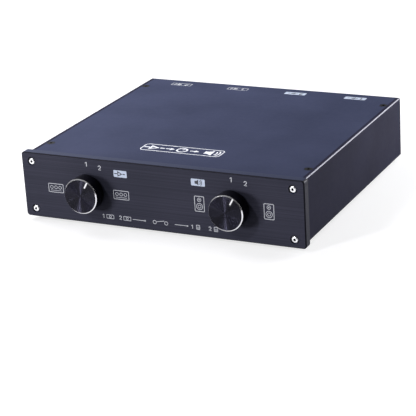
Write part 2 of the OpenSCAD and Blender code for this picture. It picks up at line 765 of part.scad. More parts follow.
// Threaded stem with its flange, cross hole and banana socket
module post_stems() color(nickel)
    at_posts(0, POSTS - 1) difference() {
        rotate_extrude($fn = 96) polygon([
            [0, -stud_end], [stud_d / 2 - small_bevel, -stud_end], [stud_d / 2, small_bevel - stud_end],
            [stud_d / 2, collar_t], [flange_d / 2, collar_t], [flange_d / 2, collar_t + flange_t],
            [stem_d / 2, collar_t + flange_t], [stem_d / 2, stem_tip - small_bevel],
            [stem_d / 2 - small_bevel, stem_tip], [0, stem_tip]]);
        translate([0, 0, stem_tip - socket_len]) cylinder(h = socket_len + 1, r = socket_d / 2, $fn = 96);
        translate([0, 0, collar_t + flange_t + wire_hole_up]) rotate([0, 90, 0])
            cylinder(h = 2 * stem_d, r = wire_hole_d / 2, center = true, $fn = 48);
    }

// The outer and inner insulating collars of a row, whose spigots meet inside the panel's holes
module collars(first)
    at_posts(first, first + COLUMNS - 1) difference() {
        union() {
            rotate_extrude($fn = 96) polygon([
                [0, 0], [collar_d / 2 - small_bevel, 0], [collar_d / 2, small_bevel],
                [collar_d / 2, collar_t - 2 * small_bevel], [collar_d / 2 - 2 * small_bevel, collar_t],
                [0, collar_t]]);
            translate([0, 0, -spigot_t]) linear_extrude(spigot_t + small_bevel) spigot_outline(0);
            translate([0, 0, -inner_face]) cylinder(h = inner_collar_t, r = inner_collar_d / 2, $fn = 96);
            translate([0, 0, -rear_t - small_bevel]) linear_extrude(spigot_t + small_bevel) spigot_outline(0);
        }
        translate([0, 0, -inner_face - 1])
            cylinder(h = inner_face + collar_t + 2, r = stud_d / 2 + spigot_gap, $fn = 96);
    }

module red_collars() color(red_plastic) collars(0);

module black_collars() color(black_plastic) collars(COLUMNS);

// Ring tag under a post nut, with an arm bent towards the front of the case
module tag(side) {
    difference() {
        union() {
            translate([0, 0, -nut_front]) cylinder(h = tag_t, r = tag_ring_d / 2, $fn = 64);
            translate([-tag_w / 2, side > 0 ? -tag_out - tag_t / 2 : 0, -nut_front])
                cube([tag_w, tag_out + tag_t / 2, tag_t]);
            translate([-tag_w / 2, -side * tag_out - tag_t / 2, -tag_end]) cube([tag_w, tag_t, tag_len]);
        }
        translate([0, 0, -nut_front - 1]) cylinder(h = tag_t + 2, r = stud_d / 2 + thread_gap, $fn = 64);
    }
}

module post_tags() color(brass)
    for (i = [0 : POSTS - 1]) facing_rear(post_x(i), post_z(i)) tag(arm_side(i));

// Nuts of the posts, of the switches' bushings and of the pillars behind the wafers
module hex_nuts() color(nickel) {
    at_posts(0, POSTS - 1)
        nut(post_nut_flats, stud_d / 2 + thread_gap, -nut_front - post_nut_t, post_nut_t);
    both_switches() nut(bushing_nut_flats, bushing_d / 2 + thread_gap, panel_t, bushing_nut_t);
    both_switches() for (side = [-1, 1]) translate([side * pillar_out, 0, 0])
        nut(pillar_nut_flats, pillar_stud_d / 2 + thread_gap, -wafer_back - pillar_nut_t, pillar_nut_t);
}

// Metal core of a cap, which screws on its stem; the grooves grip the clear shell
module cap_barrel(i) color(nickel) {
    r = barrel_d / 2;
    grooves = [for (k = [0 : rib_count - 1]) let (top = post_stand - barrel_land - k * rib_pitch)
        each [[r, top], [r - rib_deep, top - rib_pitch * 0.2],
              [r - rib_deep, top - rib_pitch * 0.6], [r, top - rib_pitch * 0.8]]];
    facing_rear(post_x(i), post_z(i)) difference() {
        rotate_extrude($fn = 96) polygon(concat(
            [[0, post_stand], [r - small_bevel, post_stand], [r, post_stand - small_bevel]],
            grooves,
            [[r, cap_base + barrel_flange_t], [barrel_flange_d / 2, cap_base + barrel_flange_t],
             [barrel_flange_d / 2, cap_base], [0, cap_base]]));
        translate([0, 0, cap_base - 1])
            cylinder(h = post_stand, r = stem_d / 2 + cap_thread_gap, $fn = 96);
    }
}

// Clear insulating shell of a cap: eight flats with rounded corners and a round rim behind them
module cap_shell(i) color(clear_plastic) {
    rim_top = cap_base + shell_rim_len;
    facing_rear(post_x(i), post_z(i)) difference() {
        union() {
            rotate_extrude($fn = 96) polygon([
                [0, cap_base], [shell_rim_d / 2 - small_bevel, cap_base],
                [shell_rim_d / 2, cap_base + small_bevel], [shell_rim_d / 2, rim_top - small_bevel],
                [shell_rim_d / 2 - small_bevel, rim_top], [0, rim_top]]);
            intersection() {
                rotate_extrude($fn = 96) polygon([
                    [0, rim_top - 1], [shell_round_d / 2, rim_top - 1],
                    [shell_round_d / 2, shell_top - shell_bevel],
                    [shell_round_d / 2 - shell_bevel, shell_top], [0, shell_top]]);
                translate([0, 0, rim_top - 1]) rotate([0, 0, 22.5])
                    cylinder(h = shell_top - rim_top + 2, r = corner_r(shell_flats, 8), $fn = 8);
            }
        }
        translate([0, 0, cap_base - 1]) cylinder(h = post_stand, r = barrel_d / 2 + shell_gap, $fn = 96);
        translate([0, 0, cap_base - 1])
            cylinder(h = barrel_flange_t + shell_gap + 1, r = barrel_flange_d / 2 + shell_gap, $fn = 96);
    }
}

// Leads

// A round lead through a list of points, with a ball at each bend
module lead(points) {
    last = len(points) - 1;
    for (k = [1 : last]) {
        step = points[k] - points[k - 1];
        from = k == 1 ? 0 : bend_trim;
        to = norm(step) - (k == last ? 0 : bend_trim);
        translate(points[k - 1])
            rotate([0, acos(step.z / norm(step)), atan2(step.y, step.x)])
                translate([0, 0, from]) cylinder(h = to - from, r = lead_d / 2, $fn = 28);
    }
    for (k = [1 : last - 1]) translate(points[k]) rotate([90, 0, 0]) rotate([0, 0, 40])
        sphere(r = lead_d / 2 + bend_swell, $fn = 16);
}

// From a post's tag forward, across the case in its own lane, then to its contact
module post_lead(i) {
    level = post_z(i) + arm_side(i) * tag_out;
    lane = level - (column(i) % 4 < 2 ? arm_side(i) * lane_step : 0);
    start_y = rear_face_y - tag_end;
    turn_y = start_y - lead_start;
    end_y = case_front_y + contact_back;
    fan_y = end_y + lead_end;
    end_x = switch_x(i) + lead_ring * cos(throw_angle(i));
    end_z = axis_z + lead_ring * sin(throw_angle(i));
    lead([[post_x(i), start_y, level],
          [post_x(i), start_y - lead_stub, level],
          [post_x(i), turn_y, lane],
          [post_x(i) + lane_share * (end_x - post_x(i)), turn_y + lane_share * (fan_y - turn_y), lane],
          [end_x, fan_y, end_z],
          [end_x, end_y, end_z]]);
}

// Between like common contacts of the two switches; the near one swerves round the far one's end
module jumper(row, reach, leg, swerve) {
    corner = lead_ring * cos(45);
    from_x = reach * corner - knob_x;
    to_x = reach * corner + knob_x;
    z = axis_z + row * corner;
    run_z = z - row * swerve;
    end_y = case_front_y + contact_back;
    leg_y = end_y + leg;
    run_y = leg_y + jumper_run;
    lead([[from_x, end_y, z], [from_x, leg_y, z],
          [from_x + jumper_bend, run_y, run_z], [to_x - jumper_bend, run_y, run_z],
          [to_x, leg_y, z], [to_x, end_y, z]]);
}

module leads(first, row) {
    for (i = [first : first + COLUMNS - 1]) post_lead(i);
    jumper(row, 1, near_leg, jumper_swerve);
    jumper(row, -1, far_leg, 0);
}

module red_leads() color([0.6, 0.1, 0.1]) leads(0, 1);

module black_leads() color([0.1, 0.1, 0.1]) leads(COLUMNS, -1);

front_panel();
top_cover();
bottom_cover();
left_side();
right_side();
rear_panel();
front_screws();
rear_screws();
cover_screws();
feet();
amp_knob();
speaker_knob();
amp_shaft();
speaker_shaft();
amp_rotor();
speaker_rotor();
switch_frames();
detent_springs();
switch_pillars();
switch_wafers();
switch_contacts();
post_stems();
red_collars();
black_collars();
post_tags();
hex_nuts();
red_leads();
black_leads();
for (i = [1 : POSTS]) cap_barrel(i - 1);
for (i = [1 : POSTS]) cap_shell(i - 1);
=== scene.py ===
# %% [markdown]
# # A speaker selector switch
# This script dresses a imported CAD model: a flat aluminium case with two rotary selectors in front
# and sixteen binding posts behind. The CAD brings every part with its true shape and size, in
# metres, so the work here is finishes, printed marks, a few small parts, light and a camera.

# %% Load the model
import math

import bmesh
import bpy
from mathutils import Matrix, Vector


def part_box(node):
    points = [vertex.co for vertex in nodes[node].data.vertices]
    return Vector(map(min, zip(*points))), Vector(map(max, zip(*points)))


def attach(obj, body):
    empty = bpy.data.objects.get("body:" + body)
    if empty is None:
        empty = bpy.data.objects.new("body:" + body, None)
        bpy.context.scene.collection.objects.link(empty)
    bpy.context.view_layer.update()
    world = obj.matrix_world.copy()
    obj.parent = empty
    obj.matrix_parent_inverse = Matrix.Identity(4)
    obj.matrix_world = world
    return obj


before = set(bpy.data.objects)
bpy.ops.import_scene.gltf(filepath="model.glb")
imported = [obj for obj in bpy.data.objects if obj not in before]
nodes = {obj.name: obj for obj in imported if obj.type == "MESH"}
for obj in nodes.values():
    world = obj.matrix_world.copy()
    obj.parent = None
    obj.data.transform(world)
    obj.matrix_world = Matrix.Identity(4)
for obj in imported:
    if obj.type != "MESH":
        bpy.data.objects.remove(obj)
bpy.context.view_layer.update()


# %% [markdown]
# Sizes that come again and again are read from the model instead of typed. Each printed mark lies
# on a face, and each material needs to know where its part is.

# %% Read the places that later cells use
panel_low, panel_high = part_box("front_panel")
wall_low, wall_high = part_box("left_side")
cover_low, cover_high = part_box("top_cover")
FRONT_Y = panel_low.y
REAR_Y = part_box("rear_panel")[1].y
TOP_Z = cover_high.z
CASE_Z = wall_low.z
AXIS_Z = (wall_low.z + wall_high.z) / 2
knob_boxes = {name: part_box(name) for name in ("amp_knob", "speaker_knob")}
KNOB_X = {name: (low.x + high.x) / 2 for name, (low, high) in knob_boxes.items()}
KNOB_R = (knob_boxes["amp_knob"][1].x - knob_boxes["amp_knob"][0].x) / 2
KNOB_FACE_Y = knob_boxes["amp_knob"][0].y
screw_low, screw_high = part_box("front_screws")
HEAD_R = 0.00275
SCREW_X = screw_high.x - HEAD_R
SCREW_UP = (screw_high.z - screw_low.z) / 2 - HEAD_R
barrel_places = [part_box("cap_barrel_%d" % k) for k in range(1, 17)]
POST_X = [(low.x + high.x) / 2 for low, high in barrel_places[:8]]
POST_UP = (barrel_places[0][0].z + barrel_places[0][1].z) / 2 - AXIS_Z
POST_END_Y = barrel_places[0][1].y
print("front face at y = %.4f, rear face at y = %.4f, top at z = %.4f" % (FRONT_Y, REAR_Y, TOP_Z))
print("post columns at x =", [round(x, 4) for x in POST_X])

# %% [markdown]
# ## A small language for finishes
# A finish is a tree of shader nodes. Building one by hand takes three lines for every sum, so the
# class below wraps a socket and turns `+`, `-`, `*`, `<` and `>` into Math nodes. After that a
# groove pattern reads like the formula that it is. `Tree.node` makes every other kind of node.

# %% A socket that can be added and multiplied
class Value:
    def __init__(self, tree, socket):
        self.tree = tree
        self.socket = socket

    def math(self, operation, first, second=0.0):
        return self.tree.node("ShaderNodeMath", {"operation": operation}, {0: first, 1: second})

    def __add__(self, other):
        return self.math("ADD", self, other)

    def __radd__(self, other):
        return self.math("ADD", other, self)

    def __sub__(self, other):
        return self.math("SUBTRACT", self, other)

    def __rsub__(self, other):
        return self.math("SUBTRACT", other, self)

    def __mul__(self, other):
        return self.math("MULTIPLY", self, other)

    def __rmul__(self, other):
        return self.math("MULTIPLY", other, self)

    def __gt__(self, other):
        return self.math("GREATER_THAN", self, other)

    def __lt__(self, other):
        return self.math("LESS_THAN", self, other)

    def __abs__(self):
        return self.math("ABSOLUTE", self)

    def root(self):
        return self.math("SQRT", self)

    def fraction(self):
        return self.math("FRACT", self)

    def clamp(self):
        return self.tree.node("ShaderNodeClamp", {}, {"Value": self})


# %% A tree of nodes
class Tree:
    def __init__(self, node_tree, shader):
        self.nodes = node_tree.nodes
        self.links = node_tree.links
        self.shader = self.nodes[shader]

    def plug(self, socket, value):
        if isinstance(value, Value):
            self.links.new(value.socket, socket)
        else:
            socket.default_value = value

    def set(self, **sockets):
        for name, value in sockets.items():
            self.plug(self.shader.inputs[name.replace("_", " ")], value)
        return self

    def node(self, kind, settings=None, sockets=None, out=0):
        made = self.nodes.new(kind)
        for name, value in (settings or {}).items():
            setattr(made, name, value)
        for name, value in (sockets or {}).items():
            self.plug(made.inputs[name], value)
        return Value(self, made.outputs[out])

    def parts(self, which):
        """X, Y and Z of a point's place ("Object"), of the way its surface faces ("Normal"), or of
        the way into the surround ("Generated")."""
        vector = self.node("ShaderNodeTexCoord", out=which)
        return [self.node("ShaderNodeSeparateXYZ", {}, {0: vector}, out=k) for k in range(3)]

    def blend(self, share, first, second):
        """The first colour where share is 0 and the second where it is 1."""
        return self.node("ShaderNodeMix", {"data_type": "RGBA"}, {0: share, 6: first, 7: second}, out=2)


print("values can be added, compared and blended")

# %% [markdown]
# Colours are written as they look on a screen, such as `"3a3c4b"`, and turned into the linear
# values that the renderer works with. A `Finish` starts as a plain material, and each step then
# links what changes over the surface into it. All places are in metres in the model's own frame,
# so a grain keeps its true size whatever part it is on.

# %% A finish and its noises
def linear(code):
    channels = [int(code[k:k + 2], 16) / 255 for k in (0, 2, 4)]
    return tuple(c / 12.92 if c <= 0.04045 else ((c + 0.055) / 1.055) ** 2.4 for c in channels) + (1.0,)


class Finish(Tree):
    def __init__(self, name, **fixed):
        self.material = bpy.data.materials.new(name)
        self.material.use_nodes = True
        super().__init__(self.material.node_tree, "Principled BSDF")
        self.set(**fixed)
        self.place = self.parts("Object")

    def grain(self, size, detail=2.0, stretch=(1, 1, 1)):
        """Smooth noise around 0.5 whose spots are about `size` across, longer along a stretched axis."""
        point = self.node("ShaderNodeCombineXYZ", {}, {
            k: self.place[k] * (1 / (size * stretch[k])) for k in range(3)})
        return self.noise(point, detail)

    def noise(self, point, detail=2.0):
        return self.node("ShaderNodeTexNoise", {}, {"Vector": point, "Scale": 1.0, "Detail": detail})

    def rings(self, distance, along, pitch):
        """Noise that changes with the distance from an axis and hardly at all round it."""
        sockets = {0: distance * (1 / pitch), 1: along * (1 / pitch)}
        return self.noise(self.node("ShaderNodeCombineXYZ", {}, sockets))

    def bump(self, height, depth):
        return self.node("ShaderNodeBump", {}, {"Strength": 1.0, "Distance": depth, "Height": height})


def paint(names, finish):
    """Gives a finish to parts of the model or to pieces made here."""
    for name in names:
        piece = nodes[name] if name in nodes else bpy.data.objects[name]
        piece.data.materials.clear()
        piece.data.materials.append(finish.material)


print("finishes can be written as formulas now")

# %% [markdown]
# ## The case
# The covers and the walls of the real case are aluminium, blasted with fine beads and dyed a dark
# slate blue. Blasting leaves grains of about a fifth of a millimetre, and the dye takes a little
# unevenly over centimetres. Two noises of those sizes do it: the small one bends the surface, and
# the large one shifts its colour. A third, in between, stands for the faint rubbing of hands.

# %% Blasted and dyed aluminium
BLAST_GRAIN = 0.0002
BLAST_DEPTH = 0.000008
RUB_PATCH = 0.004
DYE_PATCH = 0.05


def spread(value, gain):
    """Stretches noise around its middle, so that it reaches both ends of a blend."""
    return ((value - 0.5) * gain + 0.5).clamp()


def dyed_colour(finish, dark, light):
    return finish.blend(spread(finish.grain(DYE_PATCH), 2.0), linear(dark), linear(light))


def rubbing(finish):
    """How much rougher or smoother than the rest a patch is."""
    return 0.12 * (finish.grain(RUB_PATCH, 3.0) - 0.5)


def blasting(finish):
    return finish.bump(finish.grain(BLAST_GRAIN, 1.0), BLAST_DEPTH)


def dyed_metal(name, dark, light):
    finish = Finish(name, Metallic=0.03, Specular_IOR_Level=0.02)
    return finish.set(Base_Color=dyed_colour(finish, dark, light), Roughness=0.45 + rubbing(finish),
                      Normal=blasting(finish))


paint(["top_cover", "bottom_cover"], dyed_metal("cover_finish", "33384f", "3c415a"))
print("covers painted")

# %% [markdown]
# A side wall is cut from an extruded bar, and its long edges are bevelled after it is dyed, so the
# bevels are bare metal and shine as two thin lines. A bevel faces outwards and upwards at once:
# the product of those two parts of its normal is large there and nothing on the flat faces.

# %% Side walls with cut edges
CUT_FACING = 0.3
CUT_METAL = "74747e"


def side_wall():
    finish = Finish("wall_finish", Specular_IOR_Level=0.015)
    facing = finish.parts("Normal")
    cut = abs(facing[0] * facing[2]) > CUT_FACING
    dyed = dyed_colour(finish, "262635", "2d2d3f")
    return finish.set(Base_Color=finish.blend(cut, dyed, linear(CUT_METAL)), Metallic=0.04 + 0.96 * cut,
                      Roughness=0.5 + rubbing(finish) - 0.2 * cut, Normal=blasting(finish))


paint(["left_side", "right_side"], side_wall())
print("walls painted")

# %% [markdown]
# The front panel is brushed before it is dyed. Brushing leaves scratches that run along the whole
# width and are tenths of a millimetre wide. Noise does the same when its grains are stretched 300
# times along X. A fine and a coarse one together look less regular than one. The bevel round the
# panel's face was milled afterwards and gets no scratches. It faces forwards and sideways at once,
# and its colour is darker as painted shade. The narrow face on top is given the cover's lighter
# blue as painted light, for the lamps above it.

# %% Brushed front panel
LONG = (300, 1, 1)
FINE_SCRATCH, COARSE_SCRATCH = 0.00014, 0.0006
PANEL_CLOUD = 0.07
UP_FACING = 0.9
SCRATCH_DEPTH = 0.00002


def brushed_panel():
    finish = Finish("panel_finish", Metallic=0.1, Specular_IOR_Level=0.05)
    fine, coarse = finish.grain(FINE_SCRATCH, 3.0, LONG), finish.grain(COARSE_SCRATCH, 2.0, LONG)
    cloud = finish.grain(PANEL_CLOUD)
    facing = finish.parts("Normal")
    milled_bevel_shade = (abs(facing[1] * facing[0]) + abs(facing[1] * facing[2])) > CUT_FACING
    brushed = finish.blend(spread(coarse * 0.6 + cloud * 0.4, 3.0), linear("282934"), linear("363643"))
    # Painted light: the face turned up is given the cover's lighter blue, for the lamps above it.
    brushed = finish.blend(facing[2] > UP_FACING, brushed, linear("363b52"))
    # Painted shade: the milled bevel is given a darker colour, for the shade it shows.
    return finish.set(Base_Color=finish.blend(milled_bevel_shade, brushed, linear("1e1e27")),
                      Roughness=0.34 + 0.16 * fine + 0.1 * milled_bevel_shade,
                      Normal=finish.bump((fine * 0.6 + coarse * 0.4) * (1 - milled_bevel_shade), SCRATCH_DEPTH))


paint(["front_panel"], brushed_panel())
paint(["rear_panel"], dyed_metal("rear_finish", "292a30", "34353b"))
print("panels painted")

# %% [markdown]
# ## The knobs
# A knob is turned on a lathe from dyed aluminium. The tool leaves V grooves round the axis, which
# mirror a lamp only where their slopes face it, and that makes the bright fans on the knob's face.
# The last cut takes the dye off the bevel. The grooves could be cut into the mesh, but a bump of
# their height shows the same at this size. All of it depends on the distance from the axis, so
# the finish works that out first. Each knob has its own axis, and so its own finish.

# %% Turned knobs
KNOB_RING = 0.0004
RING_DEPTH = 0.00005
KNOB_BEVEL = 0.0007
BEVEL_SEEN = 0.97 * KNOB_BEVEL
FACE_SKIN = 0.0001


def turned_knob(name):
    finish = Finish(name + "_finish", Specular_IOR_Level=0.1)
    x, y, z = finish.place
    across, up = x - KNOB_X[name], z - AXIS_Z
    distance = (across * across + up * up).root()
    rings = finish.rings(distance, y, KNOB_RING)
    groove = abs((distance * (1 / KNOB_RING)).fraction() - 0.5) * 2
    behind = y - KNOB_FACE_Y
    bevel = (distance > KNOB_R - BEVEL_SEEN) * (behind < BEVEL_SEEN)
    face = behind < FACE_SKIN
    height = (groove * face * 2.6 + rings * (1 - face)) * (1 - bevel)
    dyed = finish.blend(spread(rings, 2.0), linear("16161f"), linear("24232f"))
    return finish.set(Base_Color=finish.blend(bevel, dyed, linear("f2f2f6")),
                      Metallic=0.85 + 0.15 * bevel, Roughness=0.22 - 0.08 * bevel + 0.06 * rings,
                      Normal=finish.bump(height, RING_DEPTH))


for knob in KNOB_X:
    paint([knob], turned_knob(knob))
print("knobs painted")

# %% [markdown]
# ## Metal of the posts and screws
# The posts are turned brass with nickel on it, a warm grey that mirrors its surroundings. The end
# face is cut square and looks duller, and the plating hardly reaches the socket that the banana
# plug goes into, so brass shows there. To tell a point of the socket, the finish needs its
# distance from the nearest post. Eight finishes would do, one for each column, but the columns
# stand in mirrored pairs of pairs, so folding the X axis three times lays all eight onto one.

# %% Turned and plated metal
SIDE_MIDDLE = (POST_X[4] + POST_X[7]) / 2
GROUP_MIDDLE = (POST_X[4] + POST_X[5]) / 2
SOCKET_R = 0.0021
END_SKIN = 0.00035
HEAD_SOCKET_SHADE_R = 0.00117
ALONG_Y = (80, 1, 80)
TURNED_RING, PLATED_RING, FACED_RING = 0.0002, 0.00025, 0.0002
POST_STAIN, SMALL_PART_STAIN = 0.0015, 0.003
TOOL_DEPTH = 0.00001


def plated(name, dark, light, roughness):
    finish = Finish(name, Metallic=1.0)
    rings = finish.grain(PLATED_RING, 2.0, ALONG_Y)
    stains = finish.grain(SMALL_PART_STAIN, 3.0)
    return finish.set(Base_Color=finish.blend(spread(stains, 1.6), linear(dark), linear(light)),
                      Roughness=roughness + 0.1 * rings, Normal=finish.bump(rings, TOOL_DEPTH))


def post_nickel():
    finish = Finish("post_nickel", Metallic=1.0)
    x, y, z = finish.place
    group = abs(abs(x) - SIDE_MIDDLE) - (SIDE_MIDDLE - GROUP_MIDDLE)
    folded = abs(group) - (GROUP_MIDDLE - POST_X[4])
    up = abs(z - AXIS_Z) - POST_UP
    distance = (folded * folded + up * up).root()
    socket = distance < SOCKET_R
    end = (y > POST_END_Y - END_SKIN) * (1 - socket)
    stains = finish.grain(POST_STAIN, 3.0)
    turned = finish.grain(TURNED_RING, 2.0, ALONG_Y)
    faced = finish.rings(distance, y, FACED_RING)
    nickel = finish.blend(spread(stains, 1.6), linear("cdc2b6"), linear("efe6dc"))
    nickel = finish.blend(end, nickel, linear("cdc5bf"))
    return finish.set(Base_Color=finish.blend(socket, nickel, linear("a8823f")),
                      Roughness=0.12 + 0.08 * turned + 0.35 * end + 0.3 * socket,
                      Normal=finish.bump(turned * (1 - end) + faced * end, TOOL_DEPTH))


def bright_screw():
    finish = Finish("bright_screw", Metallic=1.0)
    x, y, z = finish.place
    across, up = abs(x) - SCREW_X, abs(z - AXIS_Z) - SCREW_UP
    distance = (across * across + up * up).root()
    socket = (distance < HEAD_SOCKET_SHADE_R) * (y > FRONT_Y + FACE_SKIN)
    rings = finish.rings(distance, y, FACED_RING)
    nickel = finish.blend(rings, linear("dcdce0"), linear("f8f8fa"))
    # Painted shade: the hexagon socket is coloured near black, for the shade inside the recess.
    return finish.set(Base_Color=finish.blend(socket, nickel, linear("1b1b20")),
                      Roughness=0.32 + 0.1 * rings + 0.3 * socket,
                      Normal=finish.bump(rings, 2 * TOOL_DEPTH))


barrels = [name for name in nodes if name.startswith("cap_barrel")]
shells = [name for name in nodes if name.startswith("cap_shell")]
paint(barrels + ["post_stems"], post_nickel())
paint(["front_screws"], bright_screw())
paint(["rear_screws", "cover_screws"], plated("black_oxide", "121216", "202026", 0.4))
paint(["hex_nuts", "detent_springs", "switch_pillars"], plated("nut_nickel", "b8b4aa", "d8d4cc", 0.22))
paint(["amp_shaft", "speaker_shaft", "switch_frames"], plated("steel", "8c8c8c", "b2b2b0", 0.3))
paint(["post_tags", "switch_contacts"], plated("tinned_brass", "a89a78", "cbbf9d", 0.28))
print("metal parts painted,", len(barrels), "caps")

# %% [markdown]
# ## Plastic, rubber and board
# Moulded parts are never quite even: the plastic flows into the mould and sets in faint clouds,
# and its skin keeps the mould's fine orange peel. One noise does both. The caps' shells are clear
# with a thin haze. Transmission lets light through them and bends it, where a low alpha would
# only make them pale.

# %% Moulded parts
HAZE_PATCH, HAZE_DEPTH = 0.002, 0.00002
FLOW_PATCH, PEEL_DEPTH = 0.0015, 0.000012


def moulded(name, dark, light, roughness, patch=FLOW_PATCH, depth=PEEL_DEPTH, **fixed):
    """A finish with flow marks of one size and a peel of one depth."""
    finish = Finish(name, **fixed)
    flow = finish.grain(patch, 3.0)
    return finish.set(Base_Color=finish.blend(spread(flow, 1.6), linear(dark), linear(light)),
                      Roughness=roughness + 0.1 * flow, Normal=finish.bump(flow, depth))


def clear_plastic():
    finish = Finish("clear_plastic", Transmission_Weight=1.0, IOR=1.49)
    haze = finish.grain(HAZE_PATCH, 3.0)
    return finish.set(Base_Color=finish.blend(haze, linear("f2f4f8"), linear("fdfdfe")),
                      Roughness=0.03 + 0.05 * haze, Normal=finish.bump(haze, HAZE_DEPTH))


paint(["red_collars"], moulded("dark_red_plastic", "340b10", "450f15", 0.25, Coat_Weight=0.2))
paint(["black_collars"], moulded("black_plastic", "121214", "1b1b1f", 0.22, Coat_Weight=0.3))
paint(["feet"], moulded("foot_rubber", "151515", "202020", 0.75, patch=0.0005, depth=0.00004))
paint(["amp_rotor", "speaker_rotor", "switch_wafers"], moulded("laminate", "6e451c", "875827", 0.5))
paint(["red_leads"], moulded("red_insulation", "7c1414", "8c1a18", 0.4))
paint(["black_leads"], moulded("black_insulation", "131313", "1c1c1c", 0.4))
paint(shells, clear_plastic())
print("plastic parts painted")

# %% [markdown]
# ## Small parts of the knobs
# Two things are missing on the CAD knobs. The pointer groove is filled with white paint, and a
# set screw behind the pointer holds the knob on its shaft. Each is a mesh that rides on its
# knob's body, so it turns with it. Both are drawn for a knob that points to the right and then
# turned to where the selectors rest.

# %% Shapes made of points and faces
REST = math.radians(60)
KNOB_BODIES = {"amp_knob": "amp_selector", "speaker_knob": "speaker_selector"}


def add_piece(name, mesh, body, finish):
    piece = bpy.data.objects.new(name, mesh)
    bpy.context.scene.collection.objects.link(piece)
    mesh.materials.clear()
    mesh.materials.append(finish.material)
    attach(piece, body)


def solid(name, rings):
    """A mesh from rings of points, each joined to the next, with both ends filled."""
    shape = bmesh.new()
    made = [[shape.verts.new(point) for point in ring] for ring in rings]
    count = len(rings[0])
    for near, far in zip(made, made[1:]):
        for k in range(count):
            shape.faces.new((near[k], near[(k + 1) % count], far[(k + 1) % count], far[k]))
    shape.faces.new(made[0][::-1])
    shape.faces.new(made[-1])
    bmesh.ops.recalc_face_normals(shape, faces=shape.faces)
    mesh = bpy.data.meshes.new(name)
    shape.to_mesh(mesh)
    shape.free()
    return mesh


def on_knob(name):
    """Takes a point of a knob, with X along its pointer and Z out of its face, into the model."""
    place = Matrix.Translation((KNOB_X[name], KNOB_FACE_Y, AXIS_Z))
    return place @ Matrix.Rotation(math.radians(90), 4, "X") @ Matrix.Rotation(REST, 4, "Z")


print("mesh helpers ready")

# %% Pointer paint
GROOVE_HALF = 0.00054
GROOVE_DEEP = 0.00034
GROOVE_REACH = 0.0055
GROOVE_START = KNOB_R - GROOVE_REACH
PAINT_FACE = -0.00003
SPARE = 0.00001
TAPER = 0.0003
RIM_START = KNOB_R - KNOB_BEVEL
RIM_END = RIM_START + GROOVE_DEEP - 2 * SPARE


def pointer_paint():
    """Sections across the groove, from its start to where it runs out of the bevel."""
    rings = []
    stations = ((GROOVE_START, 0.6, PAINT_FACE), (GROOVE_START + TAPER, 1.0, PAINT_FACE),
                (RIM_START - 10 * SPARE, 1.0, PAINT_FACE), (RIM_END, 1.0, -GROOVE_DEEP + SPARE))
    for reach, share, top in stations:
        wide, crown = GROOVE_HALF * share, top + SPARE
        rings.append([(reach, -wide, -GROOVE_DEEP), (reach, wide, -GROOVE_DEEP), (reach, wide, top),
                      (reach, wide * 0.6, crown), (reach, -wide * 0.6, crown), (reach, -wide, top)])
    return rings


white_paint = moulded("pointer_paint", "e4e4e8", "f6f6f8", 0.35, patch=0.0004, depth=0.000006)
for knob, body in KNOB_BODIES.items():
    mesh = solid(knob + "_pointer", pointer_paint())
    mesh.transform(on_knob(knob))
    add_piece(knob + "_pointer", mesh, body, white_paint)
print("pointers filled from", round(GROOVE_START, 4), "to", round(RIM_END, 4))

# %% Set screws
SET_R = 0.00145
SET_SUNK = 0.0007
SET_TOP, SET_FOOT = KNOB_R - SET_SUNK, 0.0033
SET_BACK = -0.0046
SET_PITCH = 0.0005
CONE, CHAMFER = 0.0005, 0.0004
HEX_R, HEX_DEEP = 0.0009, 0.0014
STEPS = 24


def section(reach, r, sides=0):
    """A ring of points across the screw: round, or with the given number of flat sides."""
    points = []
    for k in range(STEPS):
        turn = 2 * math.pi * k / STEPS
        grow = 1.0
        if sides:
            side = 2 * math.pi / sides
            grow = math.cos(side / 2) / math.cos((turn + side / 2) % side - side / 2)
        points.append((-reach, r * grow * math.cos(turn), SET_BACK + r * grow * math.sin(turn)))
    return points


def set_screw():
    """A grub screw along X: cone point, thread, chamfer, then down into its hexagon socket."""
    rings = [section(SET_FOOT, SET_R * 0.5), section(SET_FOOT + CONE, SET_R * 0.8)]
    reach = SET_FOOT + CONE * 1.2
    while reach < SET_TOP - CHAMFER - SET_PITCH:
        rings += [section(reach, SET_R), section(reach + SET_PITCH / 2, SET_R * 0.84)]
        reach += SET_PITCH
    return rings + [section(SET_TOP - CHAMFER, SET_R), section(SET_TOP, SET_R * 0.8),
                    section(SET_TOP, HEX_R, 6), section(SET_TOP - HEX_DEEP, HEX_R, 6)]


black_steel = plated("set_screw_steel", "1a1a1d", "2a2a2e", 0.35)
for knob, body in KNOB_BODIES.items():
    mesh = solid(knob + "_set_screw", set_screw())
    mesh.transform(on_knob(knob))
    add_piece(knob + "_set_screw", mesh, body, black_steel)
print("set screws made,", len(mesh.vertices), "points each")

# %% [markdown]
# ## Printed marks
# The marks on the case are ink, screen printed a few hundredths of a millimetre thick. A flat
# Blender curve suits them: it fills the space between its closed outlines, so a frame is two
# outlines and a label with holes is several. Each outline below is a list of points in
# millimetres on the printed face, and a `face` says where that face lies in the model.

# %% Outlines
MM = 0.001
LEAST_R = 0.05


def arc(x, y, r, start, end, steps=8):
    turns = [math.radians(start + (end - start) * k / steps) for k in range(steps + 1)]
    return [(x + r * math.cos(turn), y + r * math.sin(turn)) for turn in turns]


def circle(x, y, r):
    return arc(x, y, r, 0, 360, 40)[:-1]


def rounded(x, y, width, height, r):
    w, h = width / 2 - r, height / 2 - r
    return (arc(x + w, y + h, r, 0, 90) + arc(x - w, y + h, r, 90, 180)
            + arc(x - w, y - h, r, 180, 270) + arc(x + w, y - h, r, 270, 360))


def frame_of(x, y, width, height, r, line):
    inner = max(r - line, LEAST_R)
    return [rounded(x, y, width, height, r), rounded(x, y, width - 2 * line, height - 2 * line, inner)]


def ring_of(x, y, r, line):
    return [circle(x, y, r), circle(x, y, r - line)]


def bar(x, y, width, height):
    return rounded(x, y, width, height, min(width, height) * 0.3)


